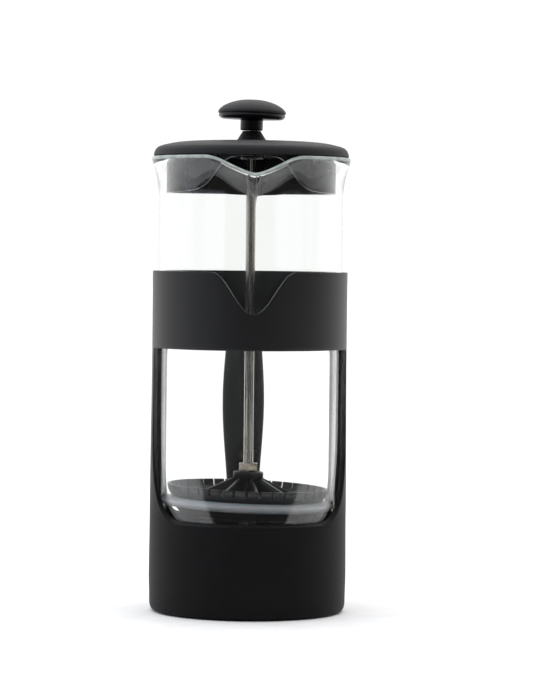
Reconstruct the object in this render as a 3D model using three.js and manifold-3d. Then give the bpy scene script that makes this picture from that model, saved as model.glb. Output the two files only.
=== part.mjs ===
// French press: a glass beaker in a plastic holder, with a lid, a plunger rod and a filter stack.
//
// Millimetres, +Z up. The origin is on the surface that the press stands on, on the beaker's axis.
// -Y is the front, where the pouring spout and the holder's notch are; the handle is at +Y.
// Angles round the axis are measured from the front, positive towards +X.

import * as THREE from "three";
import { mergeVertices } from "three/addons/utils/BufferGeometryUtils.js";
import Module from "manifold-3d";

const wasm = await Module();
wasm.setup();

// ---- Driving dimensions -------------------------------------------------------------------------

const ROUND = 40; // facets round a large turned part
const GLASS_ROUND = 48; // facets round the beaker, finer for its spout
const SMALL_ROUND = 24; // facets round the rod, nuts, bush and screws
const FIT = 0.1; // running clearance between coaxial plastic parts

const BEAKER = { outer: 48, wall: 2.5, base: 31, floor: 34, corner: 12, flareFrom: 218, rim: 236, lip: 51.7 };
const SPOUT = { halfWidth: 20, rootHalfWidth: 7, from: 209, drop: 10.3, reach: 7.2 };

const HOLDER = { inner: 48.4, band: 50.6, base: 51.3, bandLow: 137, bandHigh: 176.7, foot: 0.9 };
const SHELF = { low: 26.6, high: 29, inner: 20 };
const FOOT_LIP = { inner: 46.9, high: 3.4, wall: 48.3 };
const FRONT_WINDOW = { halfAngle: 80, low: 47.5, cornerWidth: 31, cornerHeight: 47, topFillet: 3 };
const REAR_WINDOW = { halfAngle: 67, low: 47.6, cornerWidth: 16, cornerHeight: 23, topFillet: 5 };
const NOTCH = { halfWidth: 22.5, depth: 21.3 };

const HANDLE = { width: 24.2, thickness: 13, corner: 4.5, endScale: 0.65, wideAt: 105, bulge: 42, steps: 20 };
const HANDLE_SLOT = { width: 17, depth: 9.5, from: 0.17, to: 0.85 };
const HANDLE_COVER = { width: 16.6, thickness: 2.4 };
const HANDLE_SCREW = { head: 3, shank: 1.5, coneDepth: 1.5, length: 12, start: 48.6, heights: [158, 34.6] };

const LID = { top: 244.3, low: 236.3, outer: 50.8, wall: 2.3, hole: 4.3, bossFoot: 9, bossTop: 249.6 };
const SKIRT = { outer: 43.9, wall: 1.8, low: 217.3, plateLow: 237.4, plateHigh: 239.2, flange: 47.9 };
const SKIRT_ARCH = { halfAngle: 28, sharpness: 6 };
const BUSH = { sleeve: 4.2, flange: 6.8, low: 235, high: 248.8, bore: 2.6 };

const KNOB = { radius: 17.6, top: 265.9, seam: 258.5, low: 255.6, stem: 5.85, stemLow: 249.85, tilt: 1.3 };
const INSERT = { radius: 3.8, bore: 2.8, low: 252, high: 261.5 };

const ROD = { radius: 2.5, low: 45.2, high: 261 };
const NUT = { corner: 5.4, low: 73, high: 77.1 };
const END_NUT = { corner: 5.4, low: 45, high: 49.1 };

const FILTER_TILT = 2; // the stack sits a little askew on its rod, higher towards -X
const FILTER_PIVOT = 70;
const BASKET = { rim: 41.9, top: 65.3, low: 59, floorInner: 31, hub: 7.9, hubTop: 72.7, bore: 3.3 };
const TEETH = { count: 40, slot: 0.9, depth: 3.5, turn: 0.72 };
const RIB = { count: 8, thickness: 1.8, outer: 25.5, turn: 0.245 };
const SEAL = { inner: 34, tip: 44.9, low: 55.2, high: 58.9 };
const MESH = { radius: 38.4, bore: 4.2, thickness: 0.35 };
const LOWER_PLATE = { radius: 38.5, low: 49.5, high: 55.1, hub: 7, bore: 3.7 };
const PLATE_HOLES = [{ ring: 15, count: 8 }, { ring: 25.5, count: 14 }];
const PLATE_HOLE_RADIUS = 2.4;

// ---- Materials ----------------------------------------------------------------------------------

const FINISHES = {
  satinPlastic: { color: 0x26262a, roughness: 0.5, metalness: 0 },
  glossPlastic: { color: 0x141417, roughness: 0.25, metalness: 0 },
  glass: { color: 0xe9f2ee, roughness: 0.03, metalness: 0, transparent: true, opacity: 0.25 },
  silicone: { color: 0xb9bcc0, roughness: 0.45, metalness: 0 },
  rubber: { color: 0x1b1b1c, roughness: 0.9, metalness: 0 },
  steel: { color: 0xb4b2ae, roughness: 0.25, metalness: 1 },
  brass: { color: 0xb89a56, roughness: 0.35, metalness: 1 },
};

// ---- Shape helpers ------------------------------------------------------------------------------

const radians = THREE.MathUtils.degToRad;

/** Merges a geometry's shared corners and drops the slivers that this leaves at its poles. */
function welded(geometry) {
  geometry.deleteAttribute("normal");
  geometry.deleteAttribute("uv");
  const merged = mergeVertices(geometry);
  const corners = merged.index.array;
  const kept = [];
  for (let i = 0; i < corners.length; i += 3) {
    const [a, b, c] = corners.slice(i, i + 3);
    if (a !== b && b !== c && c !== a) kept.push(a, b, c);
  }
  merged.setIndex(kept);
  return merged;
}

/** The solid that a closed geometry bounds, ready for cutting and joining. */
function solid(geometry) {
  const skin = welded(geometry);
  const vertProperties = new Float32Array(skin.attributes.position.array);
  const triVerts = new Uint32Array(skin.index.array);
  return new wasm.Manifold(new wasm.Mesh({ numProp: 3, vertProperties, triVerts }));
}

/** The outline's area, positive when it runs anticlockwise. */
function signedArea(outline) {
  let doubled = 0;
  outline.forEach(([x, y], i) => {
    const [nextX, nextY] = outline[(i + 1) % outline.length];
    doubled += x * nextY - nextX * y;
  });
  return doubled / 2;
}

/** A part turned about Z from [radius, height] points that close on themselves or on the axis. */
function turned(profile, segments = ROUND) {
  const outline = signedArea(profile) > 0 ? [...profile] : [...profile].reverse();
  const onAxis = profile[0][0] === 0 && profile.at(-1)[0] === 0;
  if (onAxis && outline[0][1] > outline.at(-1)[1]) outline.reverse();
  if (!onAxis) outline.push(outline[0]);
  const points = outline.map(([radius, height]) => new THREE.Vector2(radius, height));
  const geometry = new THREE.LatheGeometry(points, segments);
  geometry.rotateX(Math.PI / 2);
  return solid(geometry);
}

/** Points on a quarter ellipse from one profile point to another, bulging towards the corner. */
function quarter([r0, z0], [r1, z1], corner, steps = 3) {
  const [cornerR, cornerZ] = corner;
  const centre = [r0 + r1 - cornerR, z0 + z1 - cornerZ];
  return Array.from({ length: steps + 1 }, (_, i) => {
    const turn = (Math.PI / 2) * (i / steps);
    const r = centre[0] + (r0 - centre[0]) * Math.cos(turn) + (r1 - centre[0]) * Math.sin(turn);
    const z = centre[1] + (z0 - centre[1]) * Math.cos(turn) + (z1 - centre[1]) * Math.sin(turn);
    return [r, z];
  });
}

/** A plain tube or disc about Z. */
function ring(inner, outer, low, high, segments = ROUND) {
  return turned([[inner, low], [outer, low], [outer, high], [inner, high]], segments);
}

/** A block bent round the axis between two radii; its low and high edges vary with the angle. */
function bentBlock({ halfAngle, facing = 0, inner, outer, low, high, steps = 20 }) {
  const positions = [];
  const faces = [];
  for (let i = 0; i <= steps; i += 1) {
    const offset = radians(halfAngle) * Math.sin((Math.PI / 2) * (2 * (i / steps) - 1));
    const angle = radians(facing) + offset;
    const corners = [[inner, low(offset)], [outer, low(offset)], [outer, high(offset)], [inner, high(offset)]];
    corners.forEach(([radius, z]) => positions.push(radius * Math.sin(angle), -radius * Math.cos(angle), z));
    if (i === steps) break;
    for (let side = 0; side < 4; side += 1) {
      const here = 4 * i + side;
      const next = 4 * i + ((side + 1) % 4);
      faces.push(here, next, next + 4, here, next + 4, here + 4);
    }
  }
  const last = 4 * steps;
  faces.push(0, 2, 1, 0, 3, 2, last, last + 1, last + 2, last, last + 2, last + 3);
  const geometry = new THREE.BufferGeometry();
  geometry.setAttribute("position", new THREE.Float32BufferAttribute(positions, 3));
  geometry.setIndex(faces.reverse());
  return solid(geometry);
}

/** How far an elliptical corner has risen, at a distance along an edge of the given half length. */
function cornerRise(distance, halfLength, width, height) {
  const along = (Math.abs(distance) - (halfLength - width)) / width;
  return along <= 0 ? 0 : height * (1 - Math.sqrt(Math.max(0, 1 - along * along)));
}

/** Runs a closed outline along the handle's centre line and narrows it towards the handle's ends. */
function sweptAlongHandle(outline, from = 0, to = 1) {
  const path = new PartOfCurve(handleLine, from, to);
  const steps = Math.round(HANDLE.steps * (to - from));
  const geometry = new THREE.ExtrudeGeometry(outline, { steps, extrudePath: path, curveSegments: 2 });
  const position = geometry.attributes.position;
  for (let i = 0; i < position.count; i += 1) {
    const fromWidest = (position.getZ(i) - HANDLE.wideAt) / HANDLE.bulge;
    const scale = HANDLE.endScale + (1 - HANDLE.endScale) * Math.exp(-fromWidest * fromWidest);
    position.setX(i, position.getX(i) * scale);
  }
  return solid(geometry);
}

/** A stretch of another curve. */
class PartOfCurve extends THREE.Curve {
  constructor(whole, from, to) {
    super();
    Object.assign(this, { whole, from, to });
  }

  getPoint(t) {
    return this.whole.getPoint(this.from + (this.to - this.from) * t);
  }
}

/** A rectangle with round corners, as an outline. */
function roundedRectangle(left, right, low, high, corner) {
  const outline = new THREE.Shape();
  outline.moveTo(left + corner, low);
  outline.lineTo(right - corner, low);
  outline.quadraticCurveTo(right, low, right, low + corner);
  outline.lineTo(right, high - corner);
  outline.quadraticCurveTo(right, high, right - corner, high);
  outline.lineTo(left + corner, high);
  outline.quadraticCurveTo(left, high, left, high - corner);
  outline.lineTo(left, low + corner);
  outline.quadraticCurveTo(left, low, left + corner, low);
  return outline;
}

/** A box by its lowest and highest corners. */
function box(low, high) {
  const size = high.map((value, axis) => value - low[axis]);
  const geometry = new THREE.BoxGeometry(...size);
  geometry.translate(...low.map((value, axis) => value + size[axis] / 2));
  return geometry;
}

/** The mesh of a finished solid, under the name of the piece. */
function piece(name, body, finish) {
  const { vertProperties, triVerts } = body.getMesh();
  const geometry = new THREE.BufferGeometry();
  geometry.setAttribute("position", new THREE.BufferAttribute(vertProperties, 3));
  geometry.setIndex(new THREE.BufferAttribute(triVerts, 1));
  geometry.computeVertexNormals();
  const mesh = new THREE.Mesh(geometry, new THREE.MeshStandardMaterial(FINISHES[finish]));
  mesh.name = name;
  return mesh;
}

// ---- Holder -------------------------------------------------------------------------------------

/** The holder's outer surface, bottom to top; a clearance moves it outwards. */
function holderOuter(clearance = 0) {
  const bottom = quarter([48.6, HOLDER.foot], [51, 5.5], [51, HOLDER.foot]);
  const side = [[HOLDER.base, 19], [51.1, 51], [HOLDER.band, HOLDER.bandLow], [HOLDER.band, HOLDER.bandHigh]];
  return [...bottom, ...side].map(([radius, z]) => [radius + clearance, z]);
}

function windowIn(wall, window, facing) {
  const halfLength = radians(window.halfAngle) * wall.band;
  const rise = (angle) =>
    cornerRise(angle * wall.band, halfLength, window.cornerWidth, window.cornerHeight);
  const fillet = (angle) =>
    cornerRise(angle * wall.band, halfLength, window.topFillet, window.topFillet);
  return bentBlock({
    halfAngle: window.halfAngle,
    facing,
    inner: wall.inner - 4,
    outer: wall.base + 4,
    low: (angle) => window.low + rise(angle),
    high: (angle) => wall.bandLow - fillet(angle),
  });
}

/** The dip in the band's top edge that lets the spout pass. */
function spoutNotch() {
  const halfAngle = THREE.MathUtils.radToDeg(NOTCH.halfWidth / HOLDER.band);
  return bentBlock({
    halfAngle,
    inner: HOLDER.inner - 4,
    outer: HOLDER.band + 4,
    low: (angle) => {
      const across = (angle * HOLDER.band) / NOTCH.halfWidth;
      return HOLDER.bandHigh - NOTCH.depth * 0.5 * (1 + Math.cos(Math.PI * across));
    },
    high: () => HOLDER.bandHigh + 5,
  });
}

/** A countersunk screw lying along +Y, or the hole for it when a clearance is given. */
function handleScrew(height, clearance = 0) {
  const { head, shank, coneDepth, length, start } = HANDLE_SCREW;
  const reach = clearance > 0 ? 1 : 0;
  const profile = [
    [0, -reach], [head + clearance, -reach], [head + clearance, 0.2],
    [shank + clearance, coneDepth], [shank + clearance, length - 1], [0, length + clearance],
  ];
  return turned(profile, SMALL_ROUND).rotate([-90, 0, 0]).translate([0, start, height]);
}

function holderFrame() {
  const inside = [
    [HOLDER.inner, HOLDER.bandHigh], [HOLDER.inner, SHELF.high], [SHELF.inner, SHELF.high],
    [SHELF.inner, SHELF.low], [FOOT_LIP.wall, SHELF.low], [FOOT_LIP.wall, FOOT_LIP.high],
    [FOOT_LIP.inner, FOOT_LIP.high], [FOOT_LIP.inner, HOLDER.foot],
  ];
  let frame = turned([...holderOuter(), ...inside]);
  frame = frame.subtract(windowIn(HOLDER, FRONT_WINDOW, 0));
  frame = frame.subtract(windowIn(HOLDER, REAR_WINDOW, 180));
  frame = frame.subtract(spoutNotch());
  for (const height of HANDLE_SCREW.heights) frame = frame.subtract(handleScrew(height, FIT));
  return piece("holder_frame", frame, "satinPlastic");
}

function basePlate() {
  const { inner, high, wall } = FOOT_LIP;
  const flangeTop = high + 1.8;
  const profile = [
    [0, 1.3], [inner - FIT, 1.3], [inner - FIT, high + FIT], [wall - FIT, high + FIT],
    [wall - FIT, flangeTop], [44.5, flangeTop], [44.5, high], [0, high],
  ];
  return piece("base_plate", turned(profile), "satinPlastic");
}

function footPad() {
  return piece("foot_pad", turned([[0, 0], [46, 0], [46.6, 0.5], [46.6, 1.2], [0, 1.2]]), "rubber");
}

function beakerPad() {
  return piece("beaker_pad", ring(24, 42, SHELF.high, BEAKER.base - 0.02), "silicone");
}

// ---- Handle -------------------------------------------------------------------------------------

const handleLine = new THREE.CatmullRomCurve3(
  [
    [47, 158.6], [60, 158], [74, 153], [83.5, 138], [86, 112],
    [84, 84], [77, 58], [64.5, 41], [47, 34.2],
  ].map(([y, z]) => new THREE.Vector3(0, y, z)),
);

/** Everything inside the holder's outer surface, which the handle's ends are trimmed to. */
function holderEnvelope() {
  return turned([[0, HOLDER.foot], ...holderOuter(0.05), [0, HOLDER.bandHigh]]);
}

function handleGrip() {
  const { width, thickness, corner } = HANDLE;
  const half = thickness / 2;
  const slotFloor = half - HANDLE_SLOT.depth;
  const whole = roundedRectangle(-width / 2, width / 2, -half, half, corner);
  const slot = roundedRectangle(-HANDLE_SLOT.width / 2, HANDLE_SLOT.width / 2, slotFloor, half + 1, 1);
  let grip = sweptAlongHandle(whole).subtract(holderEnvelope());
  grip = grip.subtract(sweptAlongHandle(slot, HANDLE_SLOT.from, HANDLE_SLOT.to));
  for (const height of HANDLE_SCREW.heights) grip = grip.subtract(handleScrew(height, FIT));
  return piece("handle_grip", grip, "satinPlastic");
}

function handleBackCover() {
  const half = HANDLE.thickness / 2;
  const across = HANDLE_COVER.width / 2;
  const outline = roundedRectangle(-across, across, half - HANDLE_COVER.thickness, half, 0.8);
  const end = 0.004;
  const cover = sweptAlongHandle(outline, HANDLE_SLOT.from + end, HANDLE_SLOT.to - end);
  return piece("handle_back_cover", cover, "satinPlastic");
}

function handleScrews() {
  const names = ["handle_screw_upper", "handle_screw_lower"];
  return names.map((name, i) => piece(name, handleScrew(HANDLE_SCREW.heights[i]), "steel"));
}

// ---- Beaker -------------------------------------------------------------------------------------

/** Pulls the front of the beaker's mouth out and down into a V-shaped pouring spout. */
function pullSpout(point) {
  const climb = THREE.MathUtils.clamp((point.z - SPOUT.from) / (BEAKER.rim - SPOUT.from), 0, 1);
  if (climb === 0 || point.y > 0) return;
  const radius = Math.hypot(point.x, point.y);
  const angle = Math.atan2(point.x, -point.y);
  const halfWidth = SPOUT.rootHalfWidth + (SPOUT.halfWidth - SPOUT.rootHalfWidth) * climb;
  const across = Math.abs(angle * BEAKER.outer) / halfWidth;
  const pull = Math.max(0, 1 - across) * climb ** 1.5;
  const pulled = radius + SPOUT.reach * pull;
  point.set(pulled * Math.sin(angle), -pulled * Math.cos(angle), point.z - SPOUT.drop * pull);
}

function glassBeaker() {
  const { outer, wall, base, floor, corner, flareFrom, rim, lip } = BEAKER;
  const inner = outer - wall;
    const outside = [
    [0, base], ...quarter([outer - corner, base], [outer, base + corner], [outer, base]),
    [outer, SPOUT.from], [outer, flareFrom],
    [outer + 0.8, 224], [outer + 2, 229], [lip - 0.4, 233], [lip, 234.8],
  ];
  const inside = [
    [lip - 0.6, rim], [lip - 2, rim], [inner + 2.6, 233], [inner + 1.4, 229], [inner + 0.5, 224],
    [inner, flareFrom], [inner, SPOUT.from],
    ...quarter([inner, base + corner], [outer - corner, floor], [inner, floor]), [0, floor],
  ];
  const points = [...outside, ...inside].map(([radius, z]) => new THREE.Vector2(radius, z));
  const geometry = new THREE.LatheGeometry(points, GLASS_ROUND);
  geometry.rotateX(Math.PI / 2);
  const position = geometry.attributes.position;
  const point = new THREE.Vector3();
  for (let i = 0; i < position.count; i += 1) {
    pullSpout(point.fromBufferAttribute(position, i));
    position.setXYZ(i, point.x, point.y, point.z);
  }
  return piece("glass_beaker", solid(geometry), "glass");
}

// ---- Lid ----------------------------------------------------------------------------------------

function lidCover() {
  const { top, low, outer, wall, hole, bossFoot, bossTop } = LID;
  const boss = [[4.8, bossTop], [5.3, 248.5], [5.95, 247.5], [7.2, 245.4], [8.4, top]];
  const outside = [
    ...boss, [30, top - 0.1], [40, top - 1.1], [46, top - 2.4], [48.6, 240.8], [49.9, 239.5], [outer, low],
  ];
  const inside = [
    [outer - wall, low], [48.2, SKIRT.plateHigh], [46.2, 239.9], [40, 240.9], [30, top - wall],
    [bossFoot, top - wall], [bossFoot, SKIRT.plateHigh], [hole, SKIRT.plateHigh], [hole, bossTop],
  ];
  return piece("lid_cover", turned([...outside, ...inside]), "satinPlastic");
}

/** The space under a bell-shaped arch, cut from the skirt so that coffee can reach the spout. */
function skirtArch() {
  return bentBlock({
    halfAngle: 75,
    inner: SKIRT.outer - 4,
    outer: SKIRT.outer + 2,
    low: () => SKIRT.low - 3,
    high: (angle) => {
      const steep = (Math.abs(angle) / radians(SKIRT_ARCH.halfAngle)) ** SKIRT_ARCH.sharpness;
      return SKIRT.low - 0.3 + (SKIRT.plateLow - 1.5 - SKIRT.low) / (1 + steep);
    },
    steps: 26,
  });
}

function lidSkirt() {
  const { outer, wall, low, plateLow, plateHigh, flange } = SKIRT;
  const profile = [
    [outer, low], [outer, plateLow], [flange, plateLow], [flange, plateHigh], [LID.hole, plateHigh],
    [LID.hole, plateLow], [20, plateLow], [20, plateLow - 1.2], [21.4, plateLow - 1.2],
    [21.4, plateLow], [outer - wall, plateLow], [outer - wall, low],
  ];
  return piece("lid_skirt", turned(profile).subtract(skirtArch()), "glossPlastic");
}

function lidBush() {
  const { sleeve, flange, low, high, bore } = BUSH;
  const flangeTop = SKIRT.plateLow;
  const profile = [
    [bore, low], [flange - 0.8, low], [flange, low + 0.8], [flange, flangeTop],
    [sleeve, flangeTop], [sleeve, high], [bore, high],
  ];
  return piece("lid_bush", turned(profile, SMALL_ROUND), "glossPlastic");
}

// ---- Plunger ------------------------------------------------------------------------------------

/** Leans a part about a horizontal line along Y at the given height, higher towards -X. */
function leaned(body, degrees, height) {
  return body.translate([0, 0, -height]).rotate([0, degrees, 0]).translate([0, 0, height]);
}

function knobCap() {
  const { radius, top, seam } = KNOB;
  const outside = [
    [0, top], [5.5, top - 0.3], [10.5, 264.4], [14, 262.9], [16, 261.5], [17.3, 260.1],
    [radius, 259.1], [radius - 0.2, seam],
  ];
  const inside = [[15.2, seam], [14.8, 260.2], [12.5, 261.8], [9, 263], [0, 263.8]];
  const cap = turned([...outside, ...inside], 36);
  return piece("knob_cap", leaned(cap, KNOB.tilt, KNOB.low), "satinPlastic");
}

function knobStem() {
  const { stem, stemLow, low, seam } = KNOB;
  const profile = [
    [INSERT.bore + 0.3, stemLow], [stem - 0.7, stemLow], [stem, stemLow + 0.7], [stem, low - 0.4],
    [stem + 0.6, low], [16, low + 0.1], [17, low + 0.9], [17.3, seam - 0.1], [7, seam - 0.1],
    [7, 262], [INSERT.radius + 0.05, 262], [INSERT.radius + 0.05, INSERT.low - 0.05],
    [INSERT.bore + 0.3, INSERT.low - 0.05],
  ];
  return piece("knob_stem", leaned(turned(profile, 36), KNOB.tilt, KNOB.low), "satinPlastic");
}

function knobInsert() {
  const insert = ring(INSERT.bore, INSERT.radius, INSERT.low, INSERT.high, SMALL_ROUND);
  return piece("knob_insert", leaned(insert, KNOB.tilt, KNOB.low), "brass");
}

function plungerRod() {
  const { radius, low, high } = ROD;
  const bevel = 0.5;
  const profile = [
    [0, low], [radius - bevel, low], [radius, low + bevel],
    [radius, high - bevel], [radius - bevel, high], [0, high],
  ];
  return piece("plunger_rod", turned(profile, SMALL_ROUND), "steel");
}

function hexNut(name, { corner, low, high }) {
  const blank = turned([[0, low], [corner, low], [corner, high], [0, high]], 6);
  const thread = ring(0, ROD.radius + 0.06, low - 1, high + 1, SMALL_ROUND);
  return piece(name, blank.subtract(thread), "steel");
}

// ---- Filter stack -------------------------------------------------------------------------------

/** One sloping rib, in the plane through the axis that faces the given angle. */
function basketRib(angle) {
  const outline = new THREE.Shape();
  outline.moveTo(5, BASKET.low);
  outline.lineTo(BASKET.floorInner + 2, BASKET.low);
  outline.lineTo(BASKET.floorInner + 2, BASKET.low + 1.3);
  outline.lineTo(RIB.outer, BASKET.low + 1.3);
  outline.lineTo(RIB.outer, BASKET.low + 2.2);
  outline.lineTo(BASKET.hub - 0.6, BASKET.hubTop - 3);
  outline.lineTo(5, BASKET.hubTop - 3);
  const geometry = new THREE.ExtrudeGeometry(outline, { depth: RIB.thickness, bevelEnabled: false });
  geometry.translate(0, 0, -RIB.thickness / 2);
  geometry.rotateX(Math.PI / 2);
  return solid(geometry).rotate([0, 0, angle]);
}

/** One slot between two of the rim's teeth. */
function rimSlot(angle) {
  const { rim, top } = BASKET;
  const slot = box([rim - 5, -TEETH.slot / 2, top - TEETH.depth], [rim + 2, TEETH.slot / 2, top + 1]);
  return solid(slot).rotate([0, 0, angle]);
}

function filterBasket() {
  const { rim, top, low, floorInner, hub, hubTop, bore } = BASKET;
  const dish = turned([
    [floorInner, low], [39, low], [40.6, 61.2], [41.6, 63.3], [rim, top], [rim - 1.5, top],
    [40.1, 63.5], [39.1, 61.8], [37.8, low + 1.4], [floorInner, low + 1.4],
  ]);
  const hubBody = turned([
    [bore, low], [hub - 1, low], [hub - 1.4, hubTop - 3.5], [hub, hubTop - 3.5],
    [hub, hubTop - 0.5], [hub - 0.5, hubTop], [bore, hubTop],
  ], SMALL_ROUND);
  let basket = dish.add(hubBody);
  for (let i = 0; i < RIB.count; i += 1) basket = basket.add(basketRib((360 * (i + RIB.turn)) / RIB.count));
  basket = basket.subtract(ring(0, bore, low - 1, hubTop + 1, SMALL_ROUND));
  const pitch = 360 / TEETH.count;
  for (let i = 0; i < TEETH.count; i += 1) basket = basket.subtract(rimSlot(pitch * (i + TEETH.turn)));
  return piece("filter_basket", leaned(basket, FILTER_TILT, FILTER_PIVOT), "satinPlastic");
}

function siliconeSeal() {
  const { inner, tip, low, high } = SEAL;
  const step = high - MESH.thickness - 0.1;
  const profile = [
    [inner, low], [38.8, low], [39.2, low - 1.1], [41.5, low - 1], [tip - 1.1, low - 0.3],
    [tip - 0.2, low + 0.7], [tip, low + 1.6], [tip - 0.6, low + 2.5], [42.4, high - 0.4],
    [39.4, high], [MESH.radius + 0.1, high], [MESH.radius + 0.1, step], [inner, step],
  ];
  return piece("silicone_seal", leaned(turned(profile), FILTER_TILT, FILTER_PIVOT), "silicone");
}

function filterMesh() {
  const high = BASKET.low - 0.12;
  const disc = ring(MESH.bore, MESH.radius, high - MESH.thickness, high);
  return piece("filter_mesh", leaned(disc, FILTER_TILT, FILTER_PIVOT), "steel");
}

function lowerPlate() {
  const { radius, low, high, hub, bore } = LOWER_PLATE;
  const profile = [
    [bore, low], [33.5, low], [35.4, low + 1.6], [radius - 0.6, high - 1.2], [radius, high],
    [35.8, high], [33.6, low + 2.6], [32.6, low + 1.6], [hub, low + 1.6],
    [hub - 1, SEAL.high - MESH.thickness - 0.25], [bore, SEAL.high - MESH.thickness - 0.25],
  ];
  let plate = turned(profile);
  for (const { ring: ringRadius, count } of PLATE_HOLES) {
    for (let i = 0; i < count; i += 1) {
      const hole = ring(0, PLATE_HOLE_RADIUS, low - 1, low + 3, 6).translate([ringRadius, 0, 0]);
      plate = plate.subtract(hole.rotate([0, 0, (360 * i) / count]));
    }
  }
  return piece("lower_plate", leaned(plate, FILTER_TILT, FILTER_PIVOT), "satinPlastic");
}

// ---- Assembly -----------------------------------------------------------------------------------

const frenchPress = new THREE.Group();
frenchPress.add(
  holderFrame(), basePlate(), footPad(), beakerPad(),
  handleGrip(), handleBackCover(), ...handleScrews(),
  glassBeaker(),
  lidCover(), lidSkirt(), lidBush(),
  knobCap(), knobStem(), knobInsert(), plungerRod(), hexNut("rod_lock_nut", NUT),
  filterBasket(), filterMesh(), siliconeSeal(), lowerPlate(), hexNut("rod_end_nut", END_NUT),
);

export default frenchPress;
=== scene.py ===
import math

import bmesh
import bpy
from bpy.props import FloatProperty, FloatVectorProperty, IntProperty, PointerProperty
from mathutils import Matrix, Vector


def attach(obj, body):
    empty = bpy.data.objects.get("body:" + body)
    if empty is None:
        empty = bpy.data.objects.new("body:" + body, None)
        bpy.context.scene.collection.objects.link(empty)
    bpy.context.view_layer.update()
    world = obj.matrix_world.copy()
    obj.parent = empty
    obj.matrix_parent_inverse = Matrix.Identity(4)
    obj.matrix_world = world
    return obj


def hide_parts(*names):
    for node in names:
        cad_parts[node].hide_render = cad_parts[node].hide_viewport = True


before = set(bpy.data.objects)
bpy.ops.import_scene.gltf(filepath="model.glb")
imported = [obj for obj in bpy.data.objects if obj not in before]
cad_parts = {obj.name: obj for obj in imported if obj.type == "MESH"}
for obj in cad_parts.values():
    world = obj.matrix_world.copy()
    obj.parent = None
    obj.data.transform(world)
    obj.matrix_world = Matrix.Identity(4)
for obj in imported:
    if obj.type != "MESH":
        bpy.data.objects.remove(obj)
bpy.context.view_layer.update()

bl_info = {
    "name": "French Press",
    "version": (1, 0, 0),
    "blender": (4, 5, 0),
    "location": "3D View > Sidebar > French Press",
    "description": "Builds a glass coffee press in a plastic holder, with its materials and a plain studio",
    "category": "Add Mesh",
}

# Lengths inside the builders are millimetres; meshes are written in metres.
MM = 0.001


# ---- Sizes and colours a user may change --------------------------------------------------------


def length(name, description, default):
    """A length property whose default is given in millimetres."""
    return FloatProperty(name=name, description=description, default=default * MM, min=0, unit="LENGTH")


def angle(name, description, default):
    """An angle property whose default is given in degrees."""
    return FloatProperty(name=name, description=description, default=math.radians(default), subtype="ANGLE")


def colour(name, description, code):
    """A colour property whose default is an sRGB hex value."""
    return FloatVectorProperty(
        name=name, description=description, default=linear(code), subtype="COLOR", size=4, min=0, max=1
    )


def linear(code):
    """The linear RGBA colour of an sRGB hex value."""
    channels = [int(code[i : i + 2], 16) / 255 for i in (1, 3, 5)]
    return [c / 12.92 if c <= 0.04045 else ((c + 0.055) / 1.055) ** 2.4 for c in channels] + [1.0]


class HolderSizes(bpy.types.PropertyGroup):
    inner: length("Inner Radius", "Inside radius of the band and the cup", 48.4)
    band: length("Band Radius", "Outside radius of the upper band", 50.6)
    base: length("Base Radius", "Outside radius of the base cup at its widest", 51.3)
    band_low: length("Band Bottom", "Height of the band's lower edge", 137)
    band_high: length("Band Top", "Height of the band's upper edge", 176.7)
    notch_width: length("Notch Half Width", "Half width of the dip under the spout", 22.5)
    notch_depth: length("Notch Depth", "Depth of the dip under the spout", 21.3)
    window_low: length("Window Bottom", "Height of the front window's lower edge", 47.5)
    window_angle: angle("Window Half Angle", "Half of the angle that the front window spans", 80)
    rear_angle: angle("Rear Window Half Angle", "Half of the angle that the rear window spans", 67)
    chamfer: length("Window Chamfer", "How far the window's edge slopes inwards", 1.6)


class HandleSizes(bpy.types.PropertyGroup):
    width: length("Width", "Width of the handle at its widest", 24.2)
    thickness: length("Thickness", "Thickness of the handle", 13)
    wide_at: length("Widest Height", "Height at which the handle is widest", 105)
    bulge: length("Bulge Length", "How far the wide part reaches up and down", 42)


class BeakerSizes(bpy.types.PropertyGroup):
    outer: length("Outer Radius", "Outside radius of the glass", 48)
    wall: length("Wall", "Thickness of the glass", 2.5)
    rim: length("Rim Height", "Height of the rim away from the spout", 236)
    lip: length("Lip Radius", "Outside radius of the flared mouth", 51.7)
    spout_width: length("Spout Half Width", "Half width of the spout at the rim", 20)
    spout_reach: length("Spout Reach", "How far the spout is pulled out", 7.2)
    spout_drop: length("Spout Drop", "How far the rim dips at the spout's tip", 10.3)


class LidSizes(bpy.types.PropertyGroup):
    top: length("Top", "Height of the cover's crown", 244.3)
    outer: length("Outer Radius", "Outside radius of the cover's lower edge", 50.8)
    skirt: length("Skirt Radius", "Outside radius of the inner collar", 43.9)
    skirt_low: length("Skirt Bottom", "Height of the collar's lower edge", 217.3)
    arch_angle: angle("Arch Half Angle", "Half angle of the collar's cut-out behind the spout", 28)


class PlungerSizes(bpy.types.PropertyGroup):
    knob: length("Knob Radius", "Radius of the knob", 17.6)
    knob_top: length("Knob Top", "Height of the knob's top", 265.9)
    knob_lean: angle("Knob Lean", "Lean of the knob on its thread", 1.3)
    rod: length("Rod Radius", "Radius of the rod", 2.5)
    nut: length("Nut Corner Radius", "Distance from the axis to the nut's corners", 5.4)


class FilterSizes(bpy.types.PropertyGroup):
    rim: length("Rim Radius", "Outside radius of the basket's rim", 41.9)
    slot: length("Slot Width", "Width of the slots in the rim", 0.9)
    teeth: IntProperty(name="Teeth", description="Number of teeth round the rim", default=40, min=3)
    ribs: IntProperty(name="Ribs", description="Number of ribs on the hub", default=8, min=1)
    mesh_pitch: length("Mesh Pitch", "Spacing of the filter's wires, coarser than real cloth", 1.2)
    lean: angle("Lean", "Lean of the filter stack on the rod", 2)


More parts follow.
